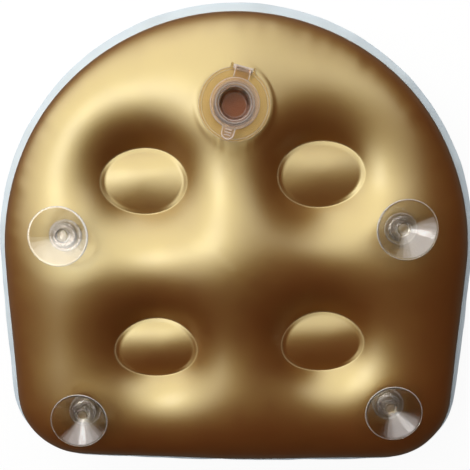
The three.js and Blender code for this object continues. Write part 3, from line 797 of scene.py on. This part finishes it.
def rounded(corners):
    """Closed profile with soft corners. A corner is a row of radius, height and cut: the curve runs from a
    point the cut before it to a point the cut after it, bending towards the corner."""
    at, cut = np.array(corners)[:, :2], np.array(corners)[:, 2:]
    back = np.roll(at, 1, axis=0) - at
    ahead = np.roll(at, -1, axis=0) - at
    back *= cut / np.linalg.norm(back, axis=1, keepdims=True)
    ahead *= cut / np.linalg.norm(ahead, axis=1, keepdims=True)
    t = np.linspace(0.0, 1.0, CORNER_STEPS)[None, :, None]
    curve = (1 - t) ** 2 * (at + back)[:, None] + 2 * t * (1 - t) * at[:, None] + t**2 * (at + ahead)[:, None]
    curve = curve.reshape(-1, 2)
    return np.concatenate([curve, curve[:1]])


def turned(profile, steps=ROUND_STEPS):
    """Grid of a profile turned about z: the radius times the cosine and sine of the angle, and the height."""
    turn = np.linspace(0.0, 2 * np.pi, steps + 1)[:, None]
    radius, height = profile.T
    return np.stack([radius * np.cos(turn), radius * np.sin(turn), height + 0 * turn], axis=-1)


def bar_along_x(length, radius, y, z, end=0.5):
    """Closed round bar along x with softened ends, as a profile turned about its own axis."""
    half = length / 2
    profile = rounded([[0, -half, 0], [radius, -half, end], [radius, half, end], [0, half, 0]])
    grid = turned(profile, BAR_STEPS)
    return np.stack([grid[..., 2], y + grid[..., 0], z + grid[..., 1]], axis=-1)


print("a turned piece has", ROUND_STEPS, "steps round")

# %% [markdown]
# ## Milky edges
# Clear vinyl looks milky along its moulded edges, and here that milky line is also a painted highlight for
# the bright lines of light along them. The edges could be cut free and given a finish of their own. Here each
# point carries how near it is to them, and the clear finish reads that value.

# %% Helper for milky edges
EDGE_WIDTH, FINE_EDGE = 0.4, 0.3


def mark_milky_highlights(mesh, at, edges, width=EDGE_WIDTH, also=None):
    """Attribute that is one along circles about a fitting's axis, given by radius and height, and falls off
    from each by a bell curve of the distance to it. It is nowhere less than a function of the fitting's own
    x, y and z, where one is given."""
    spots = np.empty(3 * len(mesh.vertices), dtype=np.float32)
    mesh.vertices.foreach_get("co", spots)
    own = (spots.reshape(-1, 3) / MM - at[3]) @ at[:3].T
    section = np.stack([np.hypot(own[:, 0], own[:, 1]), own[:, 2]], axis=1)
    away = np.hypot(*np.moveaxis(section[:, None] - np.array(edges), -1, 0)).min(axis=1)
    share = np.exp(-((away / width) ** 2))
    if also:
        share = np.maximum(share, also(*own.T))
    values = mesh.attributes.new("edge", "FLOAT", "POINT")
    values.data.foreach_set("value", share.astype(np.float32))


print("milky edges fade over", EDGE_WIDTH, "mm, and the cups' over", FINE_EDGE, "mm")

# %% [markdown]
# ## The valve base
# A round flange lies on the film, with a raised border along its rim. A neck rises from it, and a skirt
# reaches down through the hole to the seat that the flap closes. Two small cheeks hold the hinge bar.

# %% Valve base
BORE, NECK, SKIRT, SEAT_HOLE = 12.9, 15.5, 14.2, 9.4
NECK_TOP, SEAT_TOP, SEAT_UNDER = 7.5, -5.5, -6.7
DISC, DISC_UNDER, DISC_TOP, BORDER_TOP = 26.5, 0.3, 0.95, 1.5
BAR_LENGTH, BAR_RADIUS, BAR_GAP = 14.5, 1.6, 0.3
CHEEK_THICK, CHEEK_SOFT = 1.6, 0.25
CHEEK_FOOT, CHEEK_HEAD, CHEEK_TOP = 2.4, 2.0, 6.0
BASE_EDGES = [[26.4, 1.4], [24.4, 1.3], [16.6, 1.4]]


def cheek(side):
    """Closed rounded block beside the end of the hinge bar: rings of a rounded rectangle along x."""
    steps = np.array([0.0, 0.0, CHEEK_SOFT, CHEEK_THICK - CHEEK_SOFT, CHEEK_THICK, CHEEK_THICK])
    x = side * (BAR_LENGTH / 2 + BAR_GAP + steps)
    size = np.array([0.0, 0.85, 1.0, 1.0, 0.85, 0.0])
    ring = rounded([
        [-CHEEK_FOOT, DISC_UNDER, 0.2], [CHEEK_FOOT, DISC_UNDER, 0.2],
        [CHEEK_HEAD, CHEEK_TOP, 1.4], [-CHEEK_HEAD, CHEEK_TOP, 1.4],
    ])
    centre = np.array([0.0, CHEEK_TOP / 2])
    shape = centre + size[:, None, None] * (ring - centre)
    return np.concatenate([np.repeat(x, len(ring)).reshape(len(x), -1, 1), shape + [BAR_Y, 0.0]], axis=-1)


base_profile = rounded([
    [BORE, NECK_TOP, 0.5], [BORE, SEAT_TOP, 0.3], [SEAT_HOLE, SEAT_TOP, 0.3], [SEAT_HOLE, SEAT_UNDER, 0.3],
    [SKIRT, SEAT_UNDER, 0.6], [SKIRT, DISC_UNDER, 0.3], [DISC, DISC_UNDER, 0.2], [DISC, BORDER_TOP, 0.5],
    [24.6, BORDER_TOP, 0.4], [24.1, DISC_TOP, 0.2], [17.2, DISC_TOP, 0.2], [16.6, BORDER_TOP, 0.3],
    [NECK, BORDER_TOP, 0.3], [NECK, NECK_TOP, 0.6],
])
grids = [placed(grid, valve_at) for grid in (turned(base_profile), cheek(-1), cheek(1))]


def united(name, grids):
    """Mesh of closed grids joined into one body, each in turn united with the first."""
    parts = [bpy.data.objects.new(name + "_part", closed_mesh(name + "_part", [grid])) for grid in grids]
    for part in parts:
        bpy.context.collection.objects.link(part)
    for part in parts[1:]:
        join = parts[0].modifiers.new("join", "BOOLEAN")
        join.operation = "UNION"
        join.solver = "EXACT"
        join.object = part
    bpy.context.view_layer.update()
    made = bpy.data.meshes.new_from_object(parts[0].evaluated_get(bpy.context.evaluated_depsgraph_get()))
    made.name = name
    for part in parts:
        spare = part.data
        bpy.data.objects.remove(part)
        bpy.data.meshes.remove(spare)
    return made


base_mesh = united("valve_base_moulding", grids)
mark_milky_highlights(base_mesh, valve_at, BASE_EDGES)
piece_of("valve_base_moulding", base_mesh, valve_vinyl, "cushion", "valve_vinyl", "valve_base")

# %% [markdown]
# ## The plug cap
# The cap is a hollow plug with a wide rim. Beads on the rim catch the light as fine rings. A pull tab with a
# raised border and three short ribs sticks out towards the middle of the cushion.

# %% Plug cap
CAP_UNDER, CAP_TOP, CAP_RIM, RIM_TOP, BEAD_TOP = 7.8, 9.0, 18.0, 9.8, 9.5
PLUG, PLUG_FOOT, PLUG_UNDER = 12.6, 9.9, -2.0
HOLLOW, HOLLOW_FOOT, HOLLOW_FLOOR = 11.5, 8.8, -1.0
TAB_HALF, TAB_END, TAB_ROOT, TAB_TAPER, TAB_POINTS = 5.0, -21.0, -16.9, 0.2, 40
RIBS, RIB_LENGTH, RIB_RADIUS, RIB_FIRST, RIB_STEP = 3, 5.0, 0.45, -18.6, 2.0
CAP_EDGES, CAP_EDGE_WIDTH = [[17.7, 9.6], [13.7, 9.5], [11.6, 8.9], [8.9, -0.9]], 0.35
TAB_LINES_OVER, TAB_LINES_FROM = 9.35, -18.2
RIM_HAZE, RIM_HAZE_FROM = 0.22, 12.0
cap_profile = rounded([
    [0, PLUG_UNDER, 0], [PLUG_FOOT, PLUG_UNDER, 0.8], [PLUG, CAP_UNDER, 0.3], [CAP_RIM, CAP_UNDER, 0.4],
    [CAP_RIM, RIM_TOP, 0.8], [16.4, RIM_TOP, 0.6], [15.9, 9.1, 0.3], [14.4, CAP_TOP, 0.2],
    [14.1, BEAD_TOP, 0.25], [13.3, BEAD_TOP, 0.25], [13.0, CAP_TOP, 0.2], [HOLLOW, CAP_TOP, 0.5],
    [HOLLOW_FOOT, HOLLOW_FLOOR, 0.8], [0, HOLLOW_FLOOR, 0],
])
TAB_RINGS = [
    [TAB_HALF, CAP_UNDER], [0.5, CAP_UNDER], [0.15, CAP_UNDER + 0.15], [0.0, CAP_UNDER + 0.5],
    [0.0, CAP_TOP + 0.2], [0.15, CAP_TOP + 0.5], [0.5, CAP_TOP + 0.6], [0.9, CAP_TOP + 0.5],
    [1.1, CAP_TOP + 0.2], [1.3, CAP_TOP], [TAB_HALF, CAP_TOP],
]


def tab_ring(inset, level):
    """Ring of the pull tab: a half circle at the free end and straight sides, moved in by an inset."""
    half = TAB_HALF - inset
    turn = np.linspace(np.pi, 2 * np.pi, TAB_POINTS)
    end = np.stack([half * np.cos(turn), TAB_END + half * np.sin(turn)], axis=1)
    inner = TAB_ROOT - TAB_TAPER * inset
    sides = np.array([[half, inner], [-half, inner]])
    ring = np.concatenate([end, sides, end[:1]])
    return np.concatenate([ring, np.full((len(ring), 1), level)], axis=1)


tab = np.stack([tab_ring(inset, level) for inset, level in TAB_RINGS])
ribs_y = [RIB_FIRST - RIB_STEP * n for n in range(RIBS)]
ribs = [bar_along_x(RIB_LENGTH, RIB_RADIUS, y, CAP_TOP + 0.1, 0.3) for y in ribs_y]
grids = [placed(grid, valve_at) for grid in (turned(cap_profile), tab, *ribs)]
cap_mesh = united("plug_cap", grids)


def cap_haze_and_highlight(x, y, z):
    """Milky share over the cap, which is also a painted highlight: all along the raised lines of the tab and
    a little on the rim and the tab.
    """
    tab_lines = (z > TAB_LINES_OVER) & (y < TAB_LINES_FROM)
    return np.maximum(tab_lines, RIM_HAZE * (np.hypot(x, y) > RIM_HAZE_FROM))


mark_milky_highlights(cap_mesh, valve_at, CAP_EDGES, CAP_EDGE_WIDTH, cap_haze_and_highlight)
piece_of("plug_cap", cap_mesh, cap_vinyl, "cap", "valve_vinyl", "valve_cap")

# %% [markdown]
# ## The strap
# A short strap runs from the cap's rim and bends down to a bar that turns between the cheeks. Its rounded
# section is carried along a path of a straight piece and a quarter circle.

# %% Cap strap
STRAP_FROM, BEND_FROM, BEND_RADIUS = 17.7, 21.3, 4.0
STRAP_SIDE, STRAP_FLAT, STRAP_UP = 5.75, 4.9, 0.6
STRAP_SOFT, STRAP_CREASE = 0.4, 0.05
STRAIGHT_STEPS, BEND_STEPS = 4, 16
STRAP_EDGES, STRAP_MILKY_FROM = [[BAR_Y, CAP_TOP]], 5.1


def strap():
    """Grid of a section carried along a path in y and z: the path's normal carries the section's height."""
    bend = np.linspace(0.0, np.pi / 2, BEND_STEPS)
    round_out = np.stack([np.sin(bend), np.cos(bend)], axis=1)
    straight = np.linspace(STRAP_FROM, BEND_FROM, STRAIGHT_STEPS + 1)[:-1]
    path = np.concatenate([
        np.stack([straight, np.full(STRAIGHT_STEPS, BAR_Z + BEND_RADIUS)], axis=1),
        [BEND_FROM, BAR_Z] + BEND_RADIUS * round_out,
    ])
    normal = np.concatenate([np.tile([0.0, 1.0], (STRAIGHT_STEPS, 1)), round_out])
    half = [[STRAP_FLAT, STRAP_UP, STRAP_CREASE], [STRAP_SIDE, STRAP_UP, STRAP_SOFT]]
    upper = np.concatenate([half[::-1], half * np.array([-1, 1, 1])])
    section = rounded(np.concatenate([upper[::-1] * [1, -1, 1], upper]))
    size = np.concatenate([[0.0], np.ones(len(path)), [0.0]])[:, None, None]
    path = np.concatenate([path[:1], path, path[-1:]])
    normal = np.concatenate([normal[:1], normal, normal[-1:]])
    section = size * section
    yz = path[:, None] + section[..., 1:] * normal[:, None]
    return np.concatenate([section[..., :1], yz], axis=-1)


def strap_haze_and_highlight(x, y, z):
    """Milky share over the strap, which is also a painted highlight: all along its two sides."""
    return np.abs(x) > STRAP_MILKY_FROM


hinge_bar = bar_along_x(BAR_LENGTH, BAR_RADIUS, BAR_Y, BAR_Z)
strap_mesh = united("hinge_strap", [placed(grid, valve_at) for grid in (strap(), hinge_bar)])
mark_milky_highlights(strap_mesh, valve_at, STRAP_EDGES, also=strap_haze_and_highlight)
piece_of("hinge_strap", strap_mesh, cap_vinyl, "cap", "valve_vinyl", "cap_strap")

# %% [markdown]
# ## The check flap
# A soft disc hangs under the seat and closes the bore when the air pushes back. It is only glimpsed through
# the clear plug, or through the open bore, and its dark brown is painted shade for the dim inside of the
# cushion there. Its hinge is at its rim, so the hinge's place gives its radius.

# %% Check flap
FLAP_UNDER = FLAP_Z - 0.8
flap_profile = rounded([[0, FLAP_UNDER, 0], [FLAP_Y, FLAP_UNDER, 0.3], [FLAP_Y, FLAP_Z, 0.3], [0, FLAP_Z, 0]])
flap_mesh = closed_mesh("seat_flap", [placed(turned(flap_profile), valve_at)])
piece_of("seat_flap", flap_mesh, flap_vinyl_painted_shade, "flap", "valve_vinyl", "check_flap")

# %% [markdown]
# ## The suction cups
# Each cup is a button head, a neck and a bell with a straight conical hollow, which is why the light draws
# one clean wedge across it. A washer welded to the film holds the head, so the cup can turn.

# %% Suction cups and washers
CUP_UNDER, CUP_HEAD, HEAD_TOP, CUP_NECK = 0.3, 7.6, 2.1, 4.9
CUP_LIP, CUP_TOP = 22.5, 17.0
WASHER, WASHER_HOLE, WASHER_ROOM = 12.0, 5.5, 8.2
WASHER_TOP, WASHER_ROOF, WASHER_BRIM = 3.2, 2.4, 1.1
CUP_EDGES = [[22.4, 16.9], [3.4, 9.9], [7.5, 2.0]]
WASHER_EDGES = [[11.9, 1.0], [9.2, 3.1]]
cup_profile = rounded([
    [0, CUP_UNDER, 0], [CUP_HEAD, CUP_UNDER, 0.4], [CUP_HEAD, HEAD_TOP, 0.7], [CUP_NECK, HEAD_TOP, 0.3],
    [CUP_NECK, 7.4, 1.6], [12.0, 10.9, 1.5], [CUP_LIP, 16.0, 0.4], [CUP_LIP, CUP_TOP, 0.4],
    [20.9, CUP_TOP, 0.5], [3.4, 9.9, 1.6], [0, 9.4, 0],
])
washer_profile = rounded([
    [WASHER_HOLE, WASHER_ROOF, 0.15], [WASHER_ROOM, WASHER_ROOF, 0.5], [WASHER_ROOM, CUP_UNDER, 0.15],
    [WASHER, CUP_UNDER, 0.15], [WASHER, WASHER_BRIM, 0.4], [9.8, WASHER_BRIM, 0.5], [9.0, WASHER_TOP, 0.6],
    [WASHER_HOLE, WASHER_TOP, 0.3],
])
for place, at in cups_at.items():
    cup_mesh = closed_mesh("cup_" + place, [placed(turned(cup_profile), at)])
    mark_milky_highlights(cup_mesh, at, CUP_EDGES, FINE_EDGE)
    piece_of("cup_" + place, cup_mesh, cup_vinyl, "cup_" + place, "cup_vinyl", "suction_cup_" + place)
    washer_mesh = closed_mesh("washer_" + place, [placed(turned(washer_profile), at)])
    mark_milky_highlights(washer_mesh, at, WASHER_EDGES)
    piece_of("washer_" + place, washer_mesh, cup_vinyl, "cushion", "cup_vinyl", "cup_washer_" + place)

# %% [markdown]
# ## Floor and light
# The picture's ground is plain white. The floor is a dark grey that a white light of its own lifts for the
# eye and for what is seen through the clear pieces, so it looks pale without brightening the dark edges of
# the film, and it keeps a soft shadow. Three lamps, one behind the other and each larger than the last, make
# one window with soft edges at the upper left, because a single lamp would draw its hard edge on the film. A
# small lamp adds a core to it. The world is nearly dark, and white only where the eye looks past the floor.

# %% Floor
FLOOR_GREY, FLOOR_GLOW, FLOOR_HALF = (0.08, 0.08, 0.08, 1.0), 0.92, 3000.0
floor_material, tree, shader = finish("floor", Base_Color=FLOOR_GREY, Roughness=0.9, Specular_IOR_Level=0.1)
shader.inputs["Emission Color"].default_value = (1.0, 1.0, 1.0, 1.0)
path = add(tree, "LightPath")
seen = add(tree, "Math", operation="MAXIMUM")
glow = add(tree, "Math", operation="MULTIPLY")
tree.links.new(path.outputs["Is Camera Ray"], seen.inputs[0])
tree.links.new(path.outputs["Is Transmission Ray"], seen.inputs[1])
tree.links.new(seen.outputs[0], glow.inputs[0])
glow.inputs[1].default_value = FLOOR_GLOW
tree.links.new(glow.outputs[0], shader.inputs["Emission Strength"])
side = np.linspace(-FLOOR_HALF, FLOOR_HALF, 5)
flat = np.stack([*np.meshgrid(side, side, indexing="ij"), np.zeros((5, 5))], axis=-1)
points, faces = joined([flat])
mesh = mesh_of("floor", points, faces if facing_sum(points, faces)[1] > 0 else faces[:, ::-1])
mesh.materials.append(floor_material)
floor = bpy.data.objects.new("floor", mesh)
bpy.context.collection.objects.link(floor)
print("floor of", round(2 * FLOOR_HALF * MM), "m")

# %% Lamps
AIM_HEIGHT = 0.05
WINDOW_AZIMUTH, WINDOW_LEAN = 123.0, 42.0
WINDOW_WIDTH, WINDOW_HEIGHT, WINDOW_WATTS = 2.5, 2.2, 14.0
WINDOW_LAMPS = (("inner", 1.26, 0.65), ("middle", 1.3, 1.0), ("outer", 1.34, 1.35))
CORE_AZIMUTH, CORE_LEAN, CORE_DISTANCE, CORE_SIZE, CORE_WATTS = 157.0, 27.0, 1.2, 0.4, 1.4
WARM_WHITE, WHITE = (1.0, 0.99, 0.97), (1.0, 1.0, 1.0)


def lamp(name, azimuth, off_vertical, distance, size, watts, colour):
    """Oblong lamp that looks at the cushion from an azimuth, so many degrees off straight above."""
    turn, lean = np.radians(azimuth), np.radians(off_vertical)
    back = np.array([np.cos(turn) * np.sin(lean), np.sin(turn) * np.sin(lean), np.cos(lean)])
    across = np.array([-np.sin(turn), np.cos(turn), 0.0])
    place = back * distance + [0.0, 0.0, AIM_HEIGHT]
    light = bpy.data.lights.new(name, "AREA")
    light.shape = "RECTANGLE"
    light.size, light.size_y = size
    light.energy = watts
    light.color = colour
    stand = bpy.data.objects.new(name, light)
    stand.matrix_world = placing(across, np.cross(back, across), back, place)
    bpy.context.collection.objects.link(stand)


for name, distance, size in WINDOW_LAMPS:
    panel = (WINDOW_WIDTH * size, WINDOW_HEIGHT * size)
    lamp(name + "_lamp", WINDOW_AZIMUTH, WINDOW_LEAN, distance, panel, WINDOW_WATTS * size**2, WARM_WHITE)
lamp("core_lamp", CORE_AZIMUTH, CORE_LEAN, CORE_DISTANCE, (CORE_SIZE, CORE_SIZE), CORE_WATTS, WHITE)
print("lamps:", [light.name for light in bpy.data.lights])

# %% World
ROOM_TONE, ROOM_LIGHT = (1.0, 0.72, 0.5, 1.0), 0.015
world = bpy.data.worlds.new("studio")
world.use_nodes = True
tree = world.node_tree
room = tree.nodes["Background"]
room.inputs["Color"].default_value = ROOM_TONE
room.inputs["Strength"].default_value = ROOM_LIGHT
backdrop = add(tree, "Background", Color=(1.0, 1.0, 1.0, 1.0))
chosen = add(tree, "MixShader")
tree.links.new(add(tree, "LightPath").outputs["Is Camera Ray"], chosen.inputs[0])
tree.links.new(room.outputs[0], chosen.inputs[1])
tree.links.new(backdrop.outputs[0], chosen.inputs[2])
tree.links.new(chosen.outputs[0], tree.nodes["World Output"].inputs["Surface"])
bpy.context.scene.world = world
bpy.context.scene.view_settings.view_transform = "Standard"
print("world", world.name, "lights the room with a strength of", ROOM_LIGHT)
